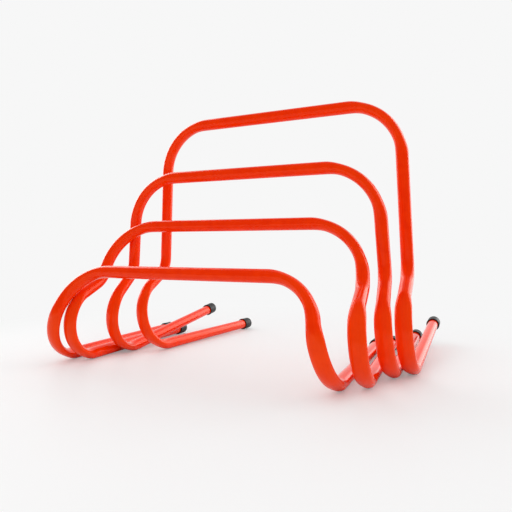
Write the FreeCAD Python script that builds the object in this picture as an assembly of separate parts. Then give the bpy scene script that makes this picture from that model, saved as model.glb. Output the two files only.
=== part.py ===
import FreeCAD, Part
import math
import os
from collections import namedtuple

# Nested set of four training hurdles. Each is one plastic tube, bent hot, with a push-on cap on each foot.
# Millimetres and degrees, +Z up. The bars run along X, the feet point back along +Y, and the origin is on
# the floor under the middle of the set. Bend radii are on the tube's centre line.

# Tube stock
TUBE_OD = 19.0
TUBE_WALL = 1.8
FRONT_FLATTENING = 0.32     # share of its height that the section loses in a front bend
CORNER_FLATTENING = 0.15
KNEE_FLATTENING = 0.03
FLATTENING_RAMP = 28.0      # length of bend over which the section goes from round to flat
SECTIONS_PER_BEND = 13

# Lengths and bends that the hurdles share
FOOT_SPACING = 450.0        # between the centre lines of a hurdle's feet
FOOT_RUN = 267.5            # straight part of a foot
FRONT_RADIUS = 58.8
SHIN_RUN = 29.6             # straight part between the front bend and the knee
KNEE_RADIUS = 38.0
CORNER_RADIUS = 82.4

# End caps
CAP_WALL = 1.9
CAP_FLOOR = 4.0
CAP_GRIP = 20.0             # how far a cap reaches over the tube
CAP_LIP_WIDTH = 3.0
CAP_LIP_HEIGHT = 0.4
CAP_END_ROUNDING = 3.0
CAP_FIT = 0.05              # radial room between a cap and the tube

# Nest
NEST_CLEARANCE = 0.6        # least room between the feet of neighbouring hurdles

Hurdle = namedtuple("Hurdle", [
    "spread",               # how much further apart its feet are than FOOT_SPACING
    "front_radius",         # bend between foot and shin
    "front_lean",           # how far the shin leans back past upright
    "has_knee",             # whether a reverse bend brings the leg upright again
    "leg_lean",             # how far the leg above the knee leans back
    "leg_run",              # straight part below the corner
    "splay",                # how far the leg leans in towards the middle
    "corner_radius",        # bend between leg and bar
    "left_rise",            # how far each foot is bent up off the floor
    "right_rise",
    "left_toe",             # how far each foot's tip is turned in
    "right_toe",
    "ahead",                # how far in front of the next taller hurdle, beyond a tube's width
    "aside",                # how far to the left of it, beyond the nest's step
    "turn",                 # angle to that hurdle, seen from above
])

# Lowest hurdle first
HURDLES = [
    Hurdle(spread=-0.8, front_radius=FRONT_RADIUS, front_lean=27.2, has_knee=False, leg_lean=27.2, leg_run=3.0,
           splay=13.6, corner_radius=72.4, left_rise=0.0, right_rise=0.0, left_toe=0.6, right_toe=0.2,
           ahead=-2.4, aside=5.3, turn=-2.2),
    Hurdle(spread=6.7, front_radius=53.2, front_lean=65.1, has_knee=True, leg_lean=19.6, leg_run=3.0,
           splay=5.0, corner_radius=CORNER_RADIUS, left_rise=0.0, right_rise=0.0, left_toe=1.8, right_toe=-0.2,
           ahead=51.9, aside=2.5, turn=1.2),
    Hurdle(spread=2.0, front_radius=FRONT_RADIUS, front_lean=46.1, has_knee=True, leg_lean=-1.4, leg_run=65.2,
           splay=4.2, corner_radius=CORNER_RADIUS, left_rise=7.3, right_rise=0.9, left_toe=1.7, right_toe=-1.05,
           ahead=16.7, aside=2.2, turn=1.7),
    Hurdle(spread=-4.0, front_radius=FRONT_RADIUS, front_lean=58.0, has_knee=True, leg_lean=-1.4, leg_run=154.3,
           splay=2.8, corner_radius=CORNER_RADIUS, left_rise=0.0, right_rise=5.8, left_toe=6.1, right_toe=-0.7,
           ahead=0.0, aside=0.0, turn=0.0),
]

Bend = namedtuple("Bend", ["start", "heading", "axis", "angle"])

FORWARD = FreeCAD.Vector(0, -1, 0)
UP = FreeCAD.Vector(0, 0, 1)
TO_MIDDLE = FreeCAD.Vector(-1, 0, 0)
ORIGIN = FreeCAD.Vector(0, 0, 0)

TUBE_RADIUS = TUBE_OD / 2
CAP_BORE_RADIUS = TUBE_RADIUS + CAP_FIT
CAP_RADIUS = CAP_BORE_RADIUS + CAP_WALL
CAP_LIP_RADIUS = CAP_RADIUS + CAP_LIP_HEIGHT


def turned(vector, axis, angle):
    return FreeCAD.Rotation(axis, angle).multVec(vector)


def half_axes(flattening):
    """Half height and half width of a section pressed flat, with the round tube's circumference."""
    half_height = TUBE_RADIUS * (1 - flattening)
    half_width = math.sqrt(2 * TUBE_RADIUS ** 2 - half_height ** 2)
    return half_height, half_width


def ramp(length):
    """Smooth rise from 0 to 1, by the length of bend from where the tube is round."""
    part = min(1, length / FLATTENING_RAMP)
    return part * part * (3 - 2 * part)


def section(place, heading, bend_axis, flattening, inset):
    """Outline across the tube, widest along the bend's axis and drawn in by the inset."""
    half_height, half_width = half_axes(flattening)
    outline = Part.Ellipse(place, half_width - inset, half_height - inset)
    outline.Axis = heading
    outline.XAxis = bend_axis
    return Part.Wire(outline.toShape())


class TubeWalk:
    """Walks along a tube's centre line and keeps a solid for each run and bend on the way."""

    def __init__(self, place, heading, inset):
        self.place = place
        self.heading = heading
        self.inset = inset
        self.solids = []

    def run(self, length):
        radius = TUBE_RADIUS - self.inset
        self.solids.append(Part.makeCylinder(radius, length, self.place, self.heading))
        self.place = self.place + self.heading * length

    def bend(self, axis, radius, angle, flattening):
        """Turns by the angle about the axis, or the other way if it is negative."""
        centre = self.place + axis.cross(self.heading) * math.copysign(radius, angle)
        spoke = self.place - centre
        length = radius * math.radians(abs(angle))
        outlines = []
        for number in range(SECTIONS_PER_BEND):
            share = number / (SECTIONS_PER_BEND - 1)
            self.place = centre + turned(spoke, axis, angle * share)
            heading = turned(self.heading, axis, angle * share)
            flatness = flattening * ramp(length * min(share, 1 - share))
            outlines.append(section(self.place, heading, axis, flatness, self.inset))
        self.solids.append(Part.makeLoft(outlines, True, False))
        self.heading = heading


def leg_axis(hurdle):
    """What the bends of the right shin turn about: square to the upright plane that leans in by the splay."""
    return FORWARD.cross(turned(UP, FORWARD, hurdle.splay))


def shin_start(hurdle):
    """Where the right front bend passes into the shin, and the heading there."""
    axis = leg_axis(hurdle)
    on_floor = FreeCAD.Vector((FOOT_SPACING + hurdle.spread) / 2, 0, TUBE_RADIUS)
    centre = on_floor + axis.cross(FORWARD) * hurdle.front_radius
    angle = 90 + hurdle.front_lean
    return centre + turned(on_floor - centre, axis, angle), turned(FORWARD, axis, angle)


def front_bend(hurdle, rise, toe):
    """The right front bend, worked back from the shin. A flat foot is raised until it rests on its cap's lip."""
    lip_rise = math.degrees(math.asin((CAP_LIP_RADIUS - TUBE_RADIUS) / (FOOT_RUN - CAP_GRIP)))
    heading = turned(turned(FORWARD, TO_MIDDLE, -rise - lip_rise), UP, toe)
    end, end_heading = shin_start(hurdle)
    axis = heading.cross(end_heading).normalize()
    angle = math.degrees(heading.getAngle(end_heading))
    centre = end + axis.cross(end_heading) * hurdle.front_radius
    return Bend(centre + turned(end - centre, axis, -angle), heading, axis, angle)


def foot_tip(front):
    return front.start - front.heading * FOOT_RUN


def half_solids(hurdle, rise, toe, inset):
    """Solids of the right half, from the foot's tip to the middle of the bar."""
    front = front_bend(hurdle, rise, toe)
    walk = TubeWalk(foot_tip(front), front.heading, inset)
    walk.run(FOOT_RUN)
    walk.bend(front.axis, hurdle.front_radius, front.angle, FRONT_FLATTENING)
    if hurdle.has_knee:
        walk.run(SHIN_RUN)
        walk.bend(leg_axis(hurdle), KNEE_RADIUS, hurdle.leg_lean - hurdle.front_lean, KNEE_FLATTENING)
    walk.run(hurdle.leg_run)
    corner_axis = walk.heading.cross(TO_MIDDLE).normalize()
    corner_angle = math.degrees(walk.heading.getAngle(TO_MIDDLE))
    walk.bend(corner_axis, hurdle.corner_radius, corner_angle, CORNER_FLATTENING)
    walk.run(walk.place.x)
    return walk.solids


def mirrored(shape):
    return shape.mirror(ORIGIN, TO_MIDDLE)


def whole_bar(hurdle, inset):
    """The bent tube as a solid rod, drawn in all round by the inset."""
    right = half_solids(hurdle, hurdle.right_rise, hurdle.right_toe, inset)
    left = half_solids(hurdle, hurdle.left_rise, hurdle.left_toe, inset)
    rest = right[1:] + [mirrored(solid) for solid in left]
    return right[0].multiFuse(rest).removeSplitter()


def bent_tube(hurdle):
    return whole_bar(hurdle, 0).cut(whole_bar(hurdle, TUBE_WALL))


def right_cap(hurdle, rise, toe):
    """Cup with a lip round its mouth and a rounded end, pushed on until its floor meets the tube's end."""
    corner = CAP_RADIUS - CAP_END_ROUNDING
    shoulder = CAP_FLOOR - CAP_END_ROUNDING
    middle = CAP_END_ROUNDING * math.sqrt(0.5)
    points = [
        FreeCAD.Vector(0, 0, 0),
        FreeCAD.Vector(CAP_BORE_RADIUS, 0, 0),
        FreeCAD.Vector(CAP_BORE_RADIUS, 0, -CAP_GRIP),
        FreeCAD.Vector(CAP_LIP_RADIUS, 0, -CAP_GRIP),
        FreeCAD.Vector(CAP_LIP_RADIUS, 0, CAP_LIP_WIDTH - CAP_GRIP),
        FreeCAD.Vector(CAP_RADIUS, 0, CAP_LIP_WIDTH - CAP_GRIP),
        FreeCAD.Vector(CAP_RADIUS, 0, shoulder),
    ]
    end = [FreeCAD.Vector(corner, 0, CAP_FLOOR), FreeCAD.Vector(0, 0, CAP_FLOOR), points[0]]
    rounding = Part.Arc(points[-1], FreeCAD.Vector(corner + middle, 0, shoulder + middle), end[0])
    outline = Part.Wire([*Part.makePolygon(points).Edges, rounding.toShape(), *Part.makePolygon(end).Edges])
    cap = Part.Face(outline).revolve(ORIGIN, UP, 360)
    front = front_bend(hurdle, rise, toe)
    cap.Placement = FreeCAD.Placement(foot_tip(front), FreeCAD.Rotation(UP, -front.heading))
    return cap


def hurdle_pieces(hurdle):
    return {
        "tube": bent_tube(hurdle),
        "left_cap": mirrored(right_cap(hurdle, hurdle.left_rise, hurdle.left_toe)),
        "right_cap": right_cap(hurdle, hurdle.right_rise, hurdle.right_toe),
    }


def nested_set():
    """Every piece by its node's name, placed from the tallest hurdle forwards, each hurdle on the floor."""
    half_height, half_width = half_axes(FRONT_FLATTENING)
    step = TUBE_RADIUS + max(half_width, CAP_LIP_RADIUS) + NEST_CLEARANCE
    stand = FreeCAD.Placement()
    pieces = {}
    for number in range(len(HURDLES), 0, -1):
        hurdle = HURDLES[number - 1]
        if number < len(HURDLES):
            offset = FreeCAD.Vector(-step - hurdle.aside, -TUBE_OD - hurdle.ahead, 0)
            stand = stand.multiply(FreeCAD.Placement(offset, FreeCAD.Rotation(UP, hurdle.turn)))
        shapes = hurdle_pieces(hurdle)
        lowest = box_round(shapes.values()).ZMin
        for name, shape in shapes.items():
            shape.translate(UP * -lowest)
            shape.Placement = stand.multiply(shape.Placement)
            pieces[f"hurdle_{number}_{name}"] = shape
    return pieces


def box_round(shapes):
    return Part.makeCompound(list(shapes)).optimalBoundingBox(False)


def export(pieces):
    box = box_round(pieces.values())
    to_origin = FreeCAD.Vector(-box.Center.x, -box.Center.y, 0)
    os.makedirs("parts", exist_ok=True)
    for name, shape in pieces.items():
        shape.translate(to_origin)
        shape.exportStep(f"parts/{name}.step")
        size = shape.optimalBoundingBox(False)
        print(f"{name}: {len(shape.Solids)} solid, valid {shape.isValid()}, volume {shape.Volume:.0f} mm3, "
              f"top {size.ZMax:.1f}, bottom {size.ZMin:.2f}")


export(nested_set())
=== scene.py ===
import math
from collections import namedtuple

import bmesh
import bpy
from mathutils import Matrix, Vector


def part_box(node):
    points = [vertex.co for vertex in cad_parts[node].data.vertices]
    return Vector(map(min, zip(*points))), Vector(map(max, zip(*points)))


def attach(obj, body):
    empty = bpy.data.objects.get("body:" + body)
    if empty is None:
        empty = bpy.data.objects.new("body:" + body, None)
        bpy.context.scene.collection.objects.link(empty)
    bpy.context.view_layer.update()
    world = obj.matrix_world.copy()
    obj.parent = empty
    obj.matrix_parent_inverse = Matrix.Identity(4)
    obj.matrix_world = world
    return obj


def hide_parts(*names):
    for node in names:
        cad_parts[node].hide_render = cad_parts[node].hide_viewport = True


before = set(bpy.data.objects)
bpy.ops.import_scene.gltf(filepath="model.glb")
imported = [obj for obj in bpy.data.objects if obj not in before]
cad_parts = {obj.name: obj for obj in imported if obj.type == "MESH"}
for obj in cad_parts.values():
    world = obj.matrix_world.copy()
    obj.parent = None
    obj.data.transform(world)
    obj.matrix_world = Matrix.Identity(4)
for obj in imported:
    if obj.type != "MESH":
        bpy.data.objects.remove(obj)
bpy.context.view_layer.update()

# Bend sheet of the four hurdles, in metres and degrees, as the solids have it
TUBE_RADIUS = 0.0095
TUBE_WALL = 0.0018
FRONT_FLATTENING = 0.32     # share of its height that the section loses in a front bend
CORNER_FLATTENING = 0.15
KNEE_FLATTENING = 0.03
FLATTENING_RAMP = 0.028     # length of bend over which the section goes from round to flat
FOOT_SPACING = 0.450
FOOT_RUN = 0.2675
FRONT_RADIUS = 0.0588
SHIN_RUN = 0.0296
KNEE_RADIUS = 0.038
CORNER_RADIUS = 0.0824

CAP_FIT = 0.00005
CAP_WALL = 0.0019
CAP_LIP_HEIGHT = 0.0004
CAP_LIP_WIDTH = 0.003
CAP_GRIP = 0.020
CAP_FLOOR = 0.004
CAP_END_ROUNDING = 0.003
CAP_BORE_RADIUS = TUBE_RADIUS + CAP_FIT
CAP_RADIUS = CAP_BORE_RADIUS + CAP_WALL
CAP_LIP_RADIUS = CAP_RADIUS + CAP_LIP_HEIGHT

Hurdle = namedtuple("Hurdle", [
    "spread", "front_radius", "front_lean", "has_knee", "leg_lean", "leg_run", "splay", "corner_radius",
    "left_rise", "right_rise", "left_toe", "right_toe", "turn",
])

# Each hurdle's turn is the angle to the tallest one, seen from above
HURDLES = {
    1: Hurdle(spread=-0.0008, front_radius=FRONT_RADIUS, front_lean=27.2, has_knee=False, leg_lean=27.2,
              leg_run=0.003, splay=13.6, corner_radius=0.0724, left_rise=0.0, right_rise=0.0,
              left_toe=0.6, right_toe=0.2, turn=0.7),
    2: Hurdle(spread=0.0067, front_radius=0.0532, front_lean=65.1, has_knee=True, leg_lean=19.6,
              leg_run=0.003, splay=5.0, corner_radius=CORNER_RADIUS, left_rise=0.0, right_rise=0.0,
              left_toe=1.8, right_toe=-0.2, turn=2.9),
    3: Hurdle(spread=0.0020, front_radius=FRONT_RADIUS, front_lean=46.1, has_knee=True, leg_lean=-1.4,
              leg_run=0.0652, splay=4.2, corner_radius=CORNER_RADIUS, left_rise=7.3, right_rise=0.9,
              left_toe=1.7, right_toe=-1.05, turn=1.7),
    4: Hurdle(spread=-0.0040, front_radius=FRONT_RADIUS, front_lean=58.0, has_knee=True, leg_lean=-1.4,
              leg_run=0.1543, splay=2.8, corner_radius=CORNER_RADIUS, left_rise=0.0, right_rise=5.8,
              left_toe=6.1, right_toe=-0.7, turn=0.0),
}

# Finishes, as linear colours
TUBE_ORANGE_DEEP = (0.90, 0.028, 0.0006)
TUBE_ORANGE_BRIGHT = (0.97, 0.039, 0.0012)
# Bend colour: partly the whitening of stretched plastic, partly painted light that makes the bends as pale
# and orange as lit ones
TUBE_ORANGE_STRETCHED_AND_PAINTED_LIT = (0.99, 0.075, 0.005)
TUBE_ORANGE_SCUFFED = (0.88, 0.14, 0.06)
TUBE_GLOSS_TINT = (0.7, 0.35, 0.18)
RUBBER_BLACK = (0.004, 0.004, 0.0045)
RUBBER_BLOOM = (0.010, 0.010, 0.011)
RUBBER_RUBBED = (0.05, 0.048, 0.046)

# Patterns in the finishes, by how often they change in a metre
DIE_LINE_SCALE = 1500.0
DIE_LINE_DRAW = 0.004       # how fast the die lines change along the tube, as a share of that round it
PIGMENT_SCALE = 70.0
ORANGE_PEEL_SCALE = 700.0
SCRATCH_SCALE = 420.0
GRAIN_SCALE = 1800.0
BLOOM_SCALE = 160.0

# Relief, and the height over the floor up to which a piece is worn
DIE_LINE_DEPTH = 0.00003
ORANGE_PEEL_DEPTH = 0.00004
GRAIN_DEPTH = 0.00006
SCUFF_HEIGHT = 0.004
RUB_HEIGHT = 0.003

# How strongly the patterns show
PIGMENT_SHARE = 0.65        # the pigment's part in the change of colour, of which the die lines have the rest
STRETCH_AND_PAINTED_LIGHT_START = 0.02        # flattening from which a bend looks stretched and gets its painted light
STRETCH_AND_PAINTED_LIGHT_SHARE = 0.35
SCUFF_SHARE = 0.6
TUBE_ROUGHNESS = (0.07, 0.13)
BEND_ROUGHNESS = 0.05       # added in a bend
SCUFF_ROUGHNESS = 0.3       # added on a scuff
RUBBER_ROUGHNESS = (0.38, 0.52)
RUBBER_SPECULAR = 0.3

# Mesh fineness
RUN_STEP = 0.006
BEND_STEP = 0.0025
LEAST_BEND_STEPS = 8
TUBE_SIDES = 48
CAP_SIDES = 64
CAP_LIP_STEPS = 4
CAP_END_STEPS = 10
MERGE_DISTANCE = 1e-6

# Camera, placed from the floor point midway between the tallest hurdle's front bends
CAMERA_PLACE = Vector((0.3158, -0.7290, 0.1817))
CAMERA_AZIMUTH = 25.10
CAMERA_PITCH = -0.82
CAMERA_ROLL = 0.09
CAMERA_LENS = 34.0
CAMERA_NEAR = 0.01
CAMERA_FAR = 100

# Studio: a white backdrop behind the set, a dim room on the camera's side, two soft lamps, and a tall
# softbox on each side that the gloss mirrors
BACKDROP_LEVEL = 0.93
FRONT_FILL = 0.80
FRONT_REFLECTION = 0.07
LAMPS = {                   # direction to the lamp, strength and the angle it fills
    "left lamp": (Vector((-0.80, 0.30, 0.52)), 0.75, 50.0),
    "right lamp": (Vector((0.70, 0.56, 0.44)), 0.75, 50.0),
}
SOFTBOXES = {               # direction to the box, brightness and half its width in degrees
    "left softbox": (Vector((-0.892, 0.453, 0)), 1.0, 14.0),
    "right softbox": (Vector((0.642, 0.767, 0)), 1.7, 24.0),
}
SOFTBOX_CORE = 0.8          # share of its half width over which a softbox is fully bright
SOFTBOX_RIM = 1.4           # share of its half width at which its glow ends
SOFTBOX_TOP = 0.7           # sine of the height that the softboxes reach up to
SOFTBOX_TOP_FADE = 0.1
FLOOR_SHADE = 0.855
FLOOR_ROUGHNESS = 0.45
FLOOR_SPECULAR = 0.03
FLOOR_WHITENING = 0.25
FLOOR_REACH = 20.0
FLOOR_FADE_START = 0.33
FLOOR_FADE_END = 0.75

FORWARD = Vector((0, -1, 0))
UP = Vector((0, 0, 1))
TO_MIDDLE = Vector((-1, 0, 0))


def turned(vector, axis, angle):
    return Matrix.Rotation(math.radians(angle), 3, axis) @ vector


# Centre lines

LinePoint = namedtuple("LinePoint", ["place", "axis", "flatness"])


def ramp(length):
    """Smooth rise from 0 to 1, by the length of bend from where the tube is round."""
    part = min(1, length / FLATTENING_RAMP)
    return part * part * (3 - 2 * part)


class TubeWalk:
    """Walks along a tube's centre line and notes its points, the bends' axes and how flat the tube is."""

    def __init__(self, place, heading):
        self.place = place
        self.heading = heading
        self.points = [LinePoint(place, UP, 0)]

    def run(self, length):
        steps = max(1, round(length / RUN_STEP))
        start = self.place
        for number in range(1, steps + 1):
            self.place = start + self.heading * (length * number / steps)
            self.points.append(LinePoint(self.place, UP, 0))

    def bend(self, axis, radius, angle, flattening):
        """Turns by the angle about the axis, or the other way if it is negative."""
        centre = self.place + axis.cross(self.heading) * math.copysign(radius, angle)
        spoke = self.place - centre
        start_heading = self.heading
        length = radius * math.radians(abs(angle))
        steps = max(LEAST_BEND_STEPS, round(length / BEND_STEP))
        for number in range(1, steps + 1):
            share = number / steps
            self.place = centre + turned(spoke, axis, angle * share)
            self.heading = turned(start_heading, axis, angle * share)
            flatness = flattening * ramp(length * min(share, 1 - share))
            self.points.append(LinePoint(self.place, axis, flatness))


def shin_start(hurdle):
    """Where the right front bend passes into the shin, the heading there and the axis it turns about."""
    axis = FORWARD.cross(turned(UP, FORWARD, hurdle.splay))
    on_floor = Vector(((FOOT_SPACING + hurdle.spread) / 2, 0, TUBE_RADIUS))
    centre = on_floor + axis.cross(FORWARD) * hurdle.front_radius
    angle = 90 + hurdle.front_lean
    return centre + turned(on_floor - centre, axis, angle), turned(FORWARD, axis, angle), axis


def half_line(hurdle, rise, toe):
    """Points of the right half, from the foot's tip to the middle of the bar, and the foot's heading."""
    lip_rise = math.degrees(math.asin((CAP_LIP_RADIUS - TUBE_RADIUS) / (FOOT_RUN - CAP_GRIP)))
    heading = turned(turned(FORWARD, TO_MIDDLE, -rise - lip_rise), UP, toe)
    end, end_heading, shin_axis = shin_start(hurdle)
    axis = heading.cross(end_heading).normalized()
    angle = math.degrees(heading.angle(end_heading))
    centre = end + axis.cross(end_heading) * hurdle.front_radius
    start = centre + turned(end - centre, axis, -angle)
    walk = TubeWalk(start - heading * FOOT_RUN, heading)
    walk.run(FOOT_RUN)
    walk.bend(axis, hurdle.front_radius, angle, FRONT_FLATTENING)
    if hurdle.has_knee:
        walk.run(SHIN_RUN)
        walk.bend(shin_axis, KNEE_RADIUS, hurdle.leg_lean - hurdle.front_lean, KNEE_FLATTENING)
    walk.run(hurdle.leg_run)
    corner_axis = walk.heading.cross(TO_MIDDLE).normalized()
    corner_angle = math.degrees(walk.heading.angle(TO_MIDDLE))
    walk.bend(corner_axis, hurdle.corner_radius, corner_angle, CORNER_FLATTENING)
    walk.run(walk.place.x)
    return walk.points, heading


def mirrored(vector):
    return Vector((-vector.x, vector.y, vector.z))


def whole_line(hurdle):
    """Points from the right foot's tip to the left one's, and each foot's tip and heading."""
    right, right_heading = half_line(hurdle, hurdle.right_rise, hurdle.right_toe)
    left, left_heading = half_line(hurdle, hurdle.left_rise, hurdle.left_toe)
    left = [LinePoint(mirrored(p.place), mirrored(p.axis), p.flatness) for p in reversed(left)]
    feet = {
        "left": (left[-1].place, mirrored(left_heading)),
        "right": (right[0].place, right_heading),
    }
    return right + left[1:], feet


# Geometry Nodes for the bent tubes

def add_node(tree, kind, **settings):
    node = tree.nodes.new(kind)
    for name, value in settings.items():
        setattr(node, name, value)
    return node


def vector_math(tree, operation, first, second):
    """Adds a vector node and returns its result. SCALE takes a number second, DOT_PRODUCT gives a number."""
    node = add_node(tree, "ShaderNodeVectorMath", operation=operation)
    tree.links.new(first, node.inputs[0])
    tree.links.new(second, node.inputs["Scale"] if operation == "SCALE" else node.inputs[1])
    return node.outputs["Value"] if operation == "DOT_PRODUCT" else node.outputs["Vector"]


def number_math(tree, operation, first, second=None):
    node = add_node(tree, "ShaderNodeMath", operation=operation)
    for socket, value in zip(node.inputs, (first, second)):
        if isinstance(value, bpy.types.NodeSocket):
            tree.links.new(value, socket)
        elif value is not None:
            socket.default_value = value
    return node.outputs["Value"]


def read_attribute(tree, name, data_type):
    node = add_node(tree, "GeometryNodeInputNamedAttribute", data_type=data_type)
    node.inputs["Name"].default_value = name
    return node.outputs["Attribute"]


def store_attribute(tree, geometry, name, data_type, value):
    node = add_node(tree, "GeometryNodeStoreNamedAttribute", data_type=data_type, domain="POINT")
    node.inputs["Name"].default_value = name
    tree.links.new(geometry, node.inputs["Geometry"])
    tree.links.new(value, node.inputs["Value"])
    return node.outputs["Geometry"]


def bent_tube_tree():
    """Sweeps a round section along a centre line and presses it flat in the bends, keeping its girth."""
    tree = bpy.data.node_groups.new("bent tube", "GeometryNodeTree")
    interface = tree.interface
    interface.new_socket("Centre line", in_out="INPUT", socket_type="NodeSocketGeometry")
    interface.new_socket("Radius", in_out="INPUT", socket_type="NodeSocketFloat")
    interface.new_socket("Sides", in_out="INPUT", socket_type="NodeSocketInt")
    interface.new_socket("Material", in_out="INPUT", socket_type="NodeSocketMaterial")
    interface.new_socket("Tube", in_out="OUTPUT", socket_type="NodeSocketGeometry")
    given = add_node(tree, "NodeGroupInput").outputs
    link = tree.links.new

    to_curve = add_node(tree, "GeometryNodeMeshToCurve")
    link(given["Centre line"], to_curve.inputs["Mesh"])
    place = add_node(tree, "GeometryNodeInputPosition").outputs["Position"]
    along = add_node(tree, "GeometryNodeSplineParameter").outputs["Length"]
    rail = store_attribute(tree, to_curve.outputs["Curve"], "centre", "FLOAT_VECTOR", place)
    rail = store_attribute(tree, rail, "along", "FLOAT", along)

    circle = add_node(tree, "GeometryNodeCurvePrimitiveCircle", mode="RADIUS")
    link(given["Sides"], circle.inputs["Resolution"])
    link(given["Radius"], circle.inputs["Radius"])
    profile = store_attribute(tree, circle.outputs["Curve"], "around", "FLOAT_VECTOR", place)

    sweep = add_node(tree, "GeometryNodeCurveToMesh")
    link(rail, sweep.inputs["Curve"])
    link(profile, sweep.inputs["Profile Curve"])

    centre = read_attribute(tree, "centre", "FLOAT_VECTOR")
    axis = read_attribute(tree, "bend_axis", "FLOAT_VECTOR")
    flatness = read_attribute(tree, "flatness", "FLOAT")
    height = number_math(tree, "SUBTRACT", 1.0, flatness)
    height_squared = number_math(tree, "MULTIPLY", height, height)
    width = number_math(tree, "SQRT", number_math(tree, "SUBTRACT", 2.0, height_squared))
    spoke = vector_math(tree, "SUBTRACT", place, centre)
    sideways = vector_math(tree, "SCALE", axis, vector_math(tree, "DOT_PRODUCT", spoke, axis))
    upright = vector_math(tree, "SUBTRACT", spoke, sideways)
    widened = vector_math(tree, "SCALE", sideways, width)
    lowered = vector_math(tree, "SCALE", upright, height)
    pressed = vector_math(tree, "ADD", widened, lowered)
    press = add_node(tree, "GeometryNodeSetPosition")
    link(sweep.outputs["Mesh"], press.inputs["Geometry"])
    link(vector_math(tree, "ADD", centre, pressed), press.inputs["Position"])

    smooth = add_node(tree, "GeometryNodeSetShadeSmooth")
    link(press.outputs["Geometry"], smooth.inputs["Geometry"])
    realize = add_node(tree, "GeometryNodeRealizeInstances")
    link(smooth.outputs["Geometry"], realize.inputs["Geometry"])
    finish = add_node(tree, "GeometryNodeSetMaterial")
    link(realize.outputs["Geometry"], finish.inputs["Geometry"])
    link(given["Material"], finish.inputs["Material"])
    link(finish.outputs["Geometry"], add_node(tree, "NodeGroupOutput").inputs["Tube"])
    return tree


def set_inputs(modifier, values):
    for socket in modifier.node_group.interface.items_tree:
        if socket.in_out == "INPUT" and socket.name in values:
            modifier[socket.identifier] = values[socket.name]


def new_object(name, mesh):
    piece = bpy.data.objects.new(name, mesh)
    bpy.context.scene.collection.objects.link(piece)
    return piece


def centre_line_mesh(name, points):
    mesh = bpy.data.meshes.new(name)
    edges = [(number, number + 1) for number in range(len(points) - 1)]
    mesh.from_pydata([point.place for point in points], edges, [])
    axes = mesh.attributes.new("bend_axis", "FLOAT_VECTOR", "POINT")
    axes.data.foreach_set("vector", [number for point in points for number in point.axis])
    flatness = mesh.attributes.new("flatness", "FLOAT", "POINT")
    flatness.data.foreach_set("value", [point.flatness for point in points])
    return mesh


def bent_tube(name, points, tree, material):
    """The hollow tube as a plain mesh, in its hurdle's own frame."""
    piece = new_object(name, centre_line_mesh(name, points))
    sweep = piece.modifiers.new("sweep", "NODES")
    sweep.node_group = tree
    set_inputs(sweep, {"Radius": TUBE_RADIUS, "Sides": TUBE_SIDES, "Material": material})
    wall = piece.modifiers.new("wall", "SOLIDIFY")
    wall.thickness = TUBE_WALL
    wall.offset = -1
    return plain_mesh(piece)


def plain_mesh(piece):
    """Turns an object with modifiers into one with the mesh that they make."""
    evaluated = piece.evaluated_get(bpy.context.evaluated_depsgraph_get())
    mesh = bpy.data.meshes.new_from_object(evaluated)
    piece.modifiers.clear()
    piece.data = mesh
    return piece


# End caps

def arc(centre, radius, start, end, steps):
    """Points of an arc in the plane of a cap's profile, as distance from its axis and height."""
    angles = [math.radians(start + (end - start) * number / steps) for number in range(steps + 1)]
    return [(centre[0] + radius * math.cos(a), centre[1] + radius * math.sin(a)) for a in angles]


def cap_profile():
    """Half section of a cap, from the middle of its floor inside, round the mouth and lip, to its end.

    The edges of the mouth and the lip are rounded by the lip's height.
    """
    edge = CAP_LIP_HEIGHT
    lip_top = CAP_LIP_WIDTH - CAP_GRIP
    mouth = -CAP_GRIP
    shoulder = CAP_FLOOR - CAP_END_ROUNDING
    corner = CAP_RADIUS - CAP_END_ROUNDING
    return [
        (0, 0),
        (CAP_BORE_RADIUS, 0),
        (CAP_BORE_RADIUS, mouth + edge),
        *arc((CAP_BORE_RADIUS + edge, mouth + edge), edge, 180, 270, CAP_LIP_STEPS)[1:],
        *arc((CAP_LIP_RADIUS - edge, mouth + edge), edge, 270, 360, CAP_LIP_STEPS),
        *arc((CAP_LIP_RADIUS - edge, lip_top - edge), edge, 0, 90, CAP_LIP_STEPS),
        (CAP_RADIUS, lip_top + edge),
        *arc((corner, shoulder), CAP_END_ROUNDING, 0, 90, CAP_END_STEPS),
        (0, CAP_FLOOR),
    ]


def cap(name, tip, heading, material):
    """A cap pushed on a tube's end, in its hurdle's own frame."""
    shape = bmesh.new()
    verts = [shape.verts.new((radius, 0, height)) for radius, height in cap_profile()]
    edges = [shape.edges.new(pair) for pair in zip(verts, verts[1:])]
    bmesh.ops.spin(shape, geom=verts + edges, cent=(0, 0, 0), axis=UP, angle=math.tau, steps=CAP_SIDES)
    bmesh.ops.remove_doubles(shape, verts=shape.verts, dist=MERGE_DISTANCE)
    bmesh.ops.recalc_face_normals(shape, faces=shape.faces)
    for face in shape.faces:
        face.smooth = True
    along = UP.rotation_difference(-heading).to_matrix().to_4x4()
    bmesh.ops.transform(shape, matrix=Matrix.Translation(tip) @ along, verts=shape.verts)
    mesh = bpy.data.meshes.new(name)
    shape.to_mesh(mesh)
    shape.free()
    mesh.materials.append(material)
    return new_object(name, mesh)


# Finishes

def shader_material(name):
    material = bpy.data.materials.new(name)
    material.use_nodes = True
    return material, material.node_tree, material.node_tree.nodes["Principled BSDF"]


def piece_coordinates(tree):
    return add_node(tree, "ShaderNodeTexCoord").outputs["Object"]


def height_on_piece(tree):
    """Height over the floor, in metres, because every piece's own origin lies on it."""
    apart = add_node(tree, "ShaderNodeSeparateXYZ")
    tree.links.new(piece_coordinates(tree), apart.inputs["Vector"])
    return apart.outputs["Z"]


def noise(tree, coordinates, scale, detail=2.0, roughness=0.5):
    node = add_node(tree, "ShaderNodeTexNoise")
    node.inputs["Scale"].default_value = scale
    node.inputs["Detail"].default_value = detail
    node.inputs["Roughness"].default_value = roughness
    tree.links.new(coordinates, node.inputs["Vector"])
    return node.outputs["Fac"]


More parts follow.
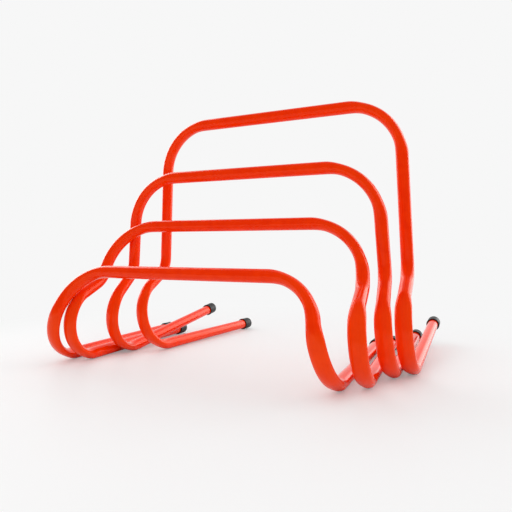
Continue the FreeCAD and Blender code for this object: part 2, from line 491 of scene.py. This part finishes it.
def span(tree, value, start, end, to_start=0.0, to_end=1.0):
    """Takes a value from one range to another, smoothly and without going past its ends."""
    node = add_node(tree, "ShaderNodeMapRange", interpolation_type="SMOOTHSTEP")
    for name, number in (("From Min", start), ("From Max", end), ("To Min", to_start), ("To Max", to_end)):
        node.inputs[name].default_value = number
    tree.links.new(value, node.inputs["Value"])
    return node.outputs["Result"]


def share_of(tree, value, share):
    return number_math(tree, "MULTIPLY", value, share)


def colour_between(tree, share, first, second):
    """Mixes two colours, each given as numbers or as another node's colour."""
    node = add_node(tree, "ShaderNodeMix", data_type="RGBA")
    tree.links.new(share, node.inputs["Factor"])
    for name, colour in (("A", first), ("B", second)):
        socket = next(s for s in node.inputs if s.name == name and s.type == "RGBA")
        if isinstance(colour, bpy.types.NodeSocket):
            tree.links.new(colour, socket)
        else:
            socket.default_value = (*colour, 1)
    return next(s for s in node.outputs if s.type == "RGBA")


def bump(tree, height, depth, below=None):
    """Raises the surface by up to the depth, in metres, on top of another bump."""
    node = add_node(tree, "ShaderNodeBump")
    node.inputs["Distance"].default_value = depth
    tree.links.new(height, node.inputs["Height"])
    if below:
        tree.links.new(below, node.inputs["Normal"])
    return node.outputs["Normal"]


def tube_attribute(tree, name):
    return add_node(tree, "ShaderNodeAttribute", attribute_name=name).outputs


def die_line_coordinates(tree):
    """Coordinates at full size round the tube and drawn out along it, as the die leaves its lines."""
    apart = add_node(tree, "ShaderNodeSeparateXYZ")
    tree.links.new(tube_attribute(tree, "around")["Vector"], apart.inputs["Vector"])
    joined = add_node(tree, "ShaderNodeCombineXYZ")
    tree.links.new(apart.outputs["X"], joined.inputs["X"])
    tree.links.new(apart.outputs["Y"], joined.inputs["Y"])
    along = tube_attribute(tree, "along")["Fac"]
    tree.links.new(share_of(tree, along, DIE_LINE_DRAW), joined.inputs["Z"])
    return joined.outputs["Vector"]


def orange_tube_plastic():
    """Glossy extruded plastic with die lines, cloudy pigment, scuffed undersides, and dulled bends painted
    paler and more orange, partly as stretched plastic and partly as painted light.
    """
    material, tree, shader = shader_material("glossy orange tube plastic")
    place = piece_coordinates(tree)
    die_lines = noise(tree, die_line_coordinates(tree), DIE_LINE_SCALE, detail=3.0)
    pigment_clouds = noise(tree, place, PIGMENT_SCALE, detail=4.0, roughness=0.6)
    orange_peel = noise(tree, place, ORANGE_PEEL_SCALE)
    # Mask of the bends: it dulls them, and paints them paler and more orange, partly as stretched plastic and
    # partly as painted light
    bend_stretch_and_painted_light = span(tree, tube_attribute(tree, "flatness")["Fac"], STRETCH_AND_PAINTED_LIGHT_START, FRONT_FLATTENING)
    near_floor = span(tree, height_on_piece(tree), 0.0, SCUFF_HEIGHT, to_start=1.0, to_end=0.0)
    scratch_noise = noise(tree, place, SCRATCH_SCALE, detail=6.0, roughness=0.75)
    scratches = span(tree, scratch_noise, start=0.50, end=0.62)
    scuffs = number_math(tree, "MULTIPLY", near_floor, scratches)

    pigment_part = share_of(tree, pigment_clouds, PIGMENT_SHARE)
    die_line_part = share_of(tree, die_lines, 1 - PIGMENT_SHARE)
    cloudiness = number_math(tree, "ADD", pigment_part, die_line_part)
    brightness = span(tree, cloudiness, start=0.35, end=0.65)
    colour = colour_between(tree, brightness, TUBE_ORANGE_DEEP, TUBE_ORANGE_BRIGHT)
    # Bends painted paler and more orange: partly stretched plastic, partly painted light standing in for lit
    # bends
    stretched_and_painted_lit = share_of(tree, bend_stretch_and_painted_light, STRETCH_AND_PAINTED_LIGHT_SHARE)
    colour = colour_between(tree, stretched_and_painted_lit, colour, TUBE_ORANGE_STRETCHED_AND_PAINTED_LIT)
    scuffed = share_of(tree, scuffs, SCUFF_SHARE)
    colour = colour_between(tree, scuffed, colour, TUBE_ORANGE_SCUFFED)
    tree.links.new(colour, shader.inputs["Base Color"])
    shader.inputs["Specular Tint"].default_value = (*TUBE_GLOSS_TINT, 1)

    least, most = TUBE_ROUGHNESS
    dullness = span(tree, die_lines, start=0.3, end=0.7, to_start=least, to_end=most)
    dullness = number_math(tree, "ADD", dullness, share_of(tree, bend_stretch_and_painted_light, BEND_ROUGHNESS))
    dullness = number_math(tree, "ADD", dullness, share_of(tree, scuffs, SCUFF_ROUGHNESS))
    tree.links.new(dullness, shader.inputs["Roughness"])

    relief = bump(tree, orange_peel, ORANGE_PEEL_DEPTH)
    relief = bump(tree, die_lines, DIE_LINE_DEPTH, relief)
    tree.links.new(relief, shader.inputs["Normal"])
    return material


def black_cap_rubber():
    """Satin moulded rubber with a fine grain and a rubbed underside."""
    material, tree, shader = shader_material("satin black cap rubber")
    place = piece_coordinates(tree)
    grain = noise(tree, place, GRAIN_SCALE, detail=3.0, roughness=0.6)
    bloom = noise(tree, place, BLOOM_SCALE, detail=3.0)
    near_floor = span(tree, height_on_piece(tree), 0.0, RUB_HEIGHT, to_start=1.0, to_end=0.0)
    rubbed = number_math(tree, "MULTIPLY", near_floor, span(tree, grain, start=0.45, end=0.6))
    colour = colour_between(tree, span(tree, bloom, start=0.35, end=0.7), RUBBER_BLACK, RUBBER_BLOOM)
    colour = colour_between(tree, rubbed, colour, RUBBER_RUBBED)
    tree.links.new(colour, shader.inputs["Base Color"])
    least, most = RUBBER_ROUGHNESS
    dullness = span(tree, bloom, start=0.3, end=0.7, to_start=least, to_end=most)
    tree.links.new(dullness, shader.inputs["Roughness"])
    shader.inputs["Specular IOR Level"].default_value = RUBBER_SPECULAR
    tree.links.new(bump(tree, grain, GRAIN_DEPTH), shader.inputs["Normal"])
    return material


# Hurdles

def box_of(piece):
    corners = [vertex.co for vertex in piece.data.vertices]
    low = Vector(min(corner[i] for corner in corners) for i in range(3))
    high = Vector(max(corner[i] for corner in corners) for i in range(3))
    return low, high


def build_hurdle(number, hurdle, tree, tube_finish, cap_finish):
    """Builds a hurdle's pieces, turned and set where the solids are. Returns the hurdle's own origin."""
    body = f"hurdle_{number}"
    points, feet = whole_line(hurdle)
    tube = bent_tube(f"{body}_bent_tube", points, tree, tube_finish)
    pieces = [(tube, f"{body}_tube", "tube")]
    for side, (tip, heading) in feet.items():
        piece = cap(f"{body}_{side}_end_cap", tip, heading, cap_finish)
        pieces.append((piece, f"{body}_{side}_cap", "cap"))
    turn = Matrix.Rotation(math.radians(hurdle.turn), 4, "Z")
    for piece, node, slot in pieces:
        piece.data.transform(turn)
    low, high = box_of(tube)
    solid_low, solid_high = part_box(f"{body}_tube")
    offset = (solid_low + solid_high - low - high) / 2
    for piece, node, slot in pieces:
        piece.data.transform(Matrix.Translation(offset))
        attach(piece, body)
        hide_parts(node)
    return offset


# Studio

def floor_paint():
    """Pale satin floor round the set, which passes into the backdrop's white further out."""
    material, tree, shader = shader_material("pale satin floor")
    shader.inputs["Base Color"].default_value = (FLOOR_SHADE, FLOOR_SHADE, FLOOR_SHADE, 1)
    shader.inputs["Roughness"].default_value = FLOOR_ROUGHNESS
    shader.inputs["Specular IOR Level"].default_value = FLOOR_SPECULAR
    distance = add_node(tree, "ShaderNodeVectorMath", operation="LENGTH")
    tree.links.new(piece_coordinates(tree), distance.inputs[0])
    seen = add_node(tree, "ShaderNodeLightPath").outputs["Is Camera Ray"]
    far = span(tree, distance.outputs["Value"], FLOOR_FADE_START, FLOOR_FADE_END, FLOOR_WHITENING, 1.0)
    white = add_node(tree, "ShaderNodeEmission")
    white.inputs["Strength"].default_value = BACKDROP_LEVEL
    mix = add_node(tree, "ShaderNodeMixShader")
    tree.links.new(number_math(tree, "MULTIPLY", far, seen), mix.inputs[0])
    tree.links.new(shader.outputs["BSDF"], mix.inputs[1])
    tree.links.new(white.outputs["Emission"], mix.inputs[2])
    tree.links.new(mix.outputs["Shader"], tree.nodes["Material Output"].inputs["Surface"])
    return material


def make_floor():
    mesh = bpy.data.meshes.new("floor")
    corners = [(x * FLOOR_REACH, y * FLOOR_REACH, 0) for x, y in ((-1, -1), (1, -1), (1, 1), (-1, 1))]
    mesh.from_pydata(corners, [], [(0, 1, 2, 3)])
    mesh.materials.append(floor_paint())
    new_object("floor", mesh)


def along_direction(tree, direction, axis):
    """How far a direction points along an axis, from -1 to 1."""
    node = add_node(tree, "ShaderNodeVectorMath", operation="DOT_PRODUCT")
    tree.links.new(direction, node.inputs[0])
    node.inputs[1].default_value = axis
    return node.outputs["Value"]


def softbox_glow(tree, direction):
    """Brightness of the tall softboxes, by the direction seen."""
    level = add_node(tree, "ShaderNodeVectorMath", operation="MULTIPLY")
    tree.links.new(direction, level.inputs[0])
    level.inputs[1].default_value = (1, 1, 0)
    bearing = add_node(tree, "ShaderNodeVectorMath", operation="NORMALIZE")
    tree.links.new(level.outputs["Vector"], bearing.inputs[0])
    glow = 0.0
    for middle, brightness, half_width in SOFTBOXES.values():
        rim = math.cos(math.radians(half_width * SOFTBOX_RIM))
        core = math.cos(math.radians(half_width * SOFTBOX_CORE))
        across = along_direction(tree, bearing.outputs["Vector"], middle)
        glow = number_math(tree, "ADD", glow, span(tree, across, rim, core, 0.0, brightness))
    height = along_direction(tree, direction, UP)
    below_top = span(tree, height, SOFTBOX_TOP - SOFTBOX_TOP_FADE, SOFTBOX_TOP + SOFTBOX_TOP_FADE, 1.0, 0.0)
    return number_math(tree, "MULTIPLY", glow, below_top)


def make_backdrop():
    """White backdrop all round for the camera, and a room with a dim front for light and reflections."""
    world = bpy.data.worlds.new("studio")
    bpy.context.scene.world = world
    world.use_nodes = True
    world.cycles.sampling_method = "NONE"
    tree = world.node_tree
    light_path = add_node(tree, "ShaderNodeLightPath").outputs
    direction = add_node(tree, "ShaderNodeTexCoord").outputs["Generated"]
    facing = along_direction(tree, direction, turned(-FORWARD, UP, CAMERA_AZIMUTH))

    fill = tree.nodes["Background"]
    room_light = span(tree, facing, start=-0.6, end=0.6, to_start=FRONT_FILL, to_end=BACKDROP_LEVEL)
    tree.links.new(room_light, fill.inputs["Strength"])
    reflection = add_node(tree, "ShaderNodeBackground")
    room = span(tree, facing, start=0.0, end=0.7, to_start=FRONT_REFLECTION, to_end=BACKDROP_LEVEL)
    mirrored_room = number_math(tree, "ADD", room, softbox_glow(tree, direction))
    tree.links.new(mirrored_room, reflection.inputs["Strength"])
    backdrop = add_node(tree, "ShaderNodeBackground")
    backdrop.inputs["Strength"].default_value = BACKDROP_LEVEL
    for background in (fill, reflection, backdrop):
        background.inputs["Color"].default_value = (1, 1, 1, 1)

    light = add_node(tree, "ShaderNodeMixShader")
    tree.links.new(light_path["Is Glossy Ray"], light.inputs[0])
    tree.links.new(fill.outputs["Background"], light.inputs[1])
    tree.links.new(reflection.outputs["Background"], light.inputs[2])
    seen = add_node(tree, "ShaderNodeMixShader")
    direct = number_math(tree, "MAXIMUM", light_path["Is Camera Ray"], light_path["Is Transmission Ray"])
    tree.links.new(direct, seen.inputs[0])
    tree.links.new(light.outputs["Shader"], seen.inputs[1])
    tree.links.new(backdrop.outputs["Background"], seen.inputs[2])
    tree.links.new(seen.outputs["Shader"], tree.nodes["World Output"].inputs["Surface"])


def make_lamps():
    for name, (direction, strength, angle) in LAMPS.items():
        lamp = bpy.data.lights.new(name, "SUN")
        lamp.energy = strength
        lamp.angle = math.radians(angle)
        holder = bpy.data.objects.new(name, lamp)
        bpy.context.scene.collection.objects.link(holder)
        holder.matrix_world = direction.to_track_quat("Z", "Y").to_matrix().to_4x4()


def make_camera(origin):
    camera = bpy.data.objects.new("camera", bpy.data.cameras.new("camera"))
    bpy.context.scene.collection.objects.link(camera)
    bpy.context.scene.camera = camera
    camera.data.lens = CAMERA_LENS
    camera.data.clip_start = CAMERA_NEAR
    camera.data.clip_end = CAMERA_FAR
    azimuth = Matrix.Rotation(math.radians(CAMERA_AZIMUTH), 4, "Z")
    pitch = Matrix.Rotation(math.radians(90 + CAMERA_PITCH), 4, "X")
    roll = Matrix.Rotation(math.radians(CAMERA_ROLL), 4, "Z")
    camera.matrix_world = Matrix.Translation(origin + CAMERA_PLACE) @ azimuth @ pitch @ roll


tube_tree = bent_tube_tree()
tube_finish = orange_tube_plastic()
cap_finish = black_cap_rubber()
origins = {
    number: build_hurdle(number, hurdle, tube_tree, tube_finish, cap_finish)
    for number, hurdle in HURDLES.items()
}
make_floor()
make_backdrop()
make_lamps()
tallest = origins[max(HURDLES)]
make_camera(Vector((tallest.x, tallest.y, 0)))
bpy.context.scene.view_settings.view_transform = "Standard"
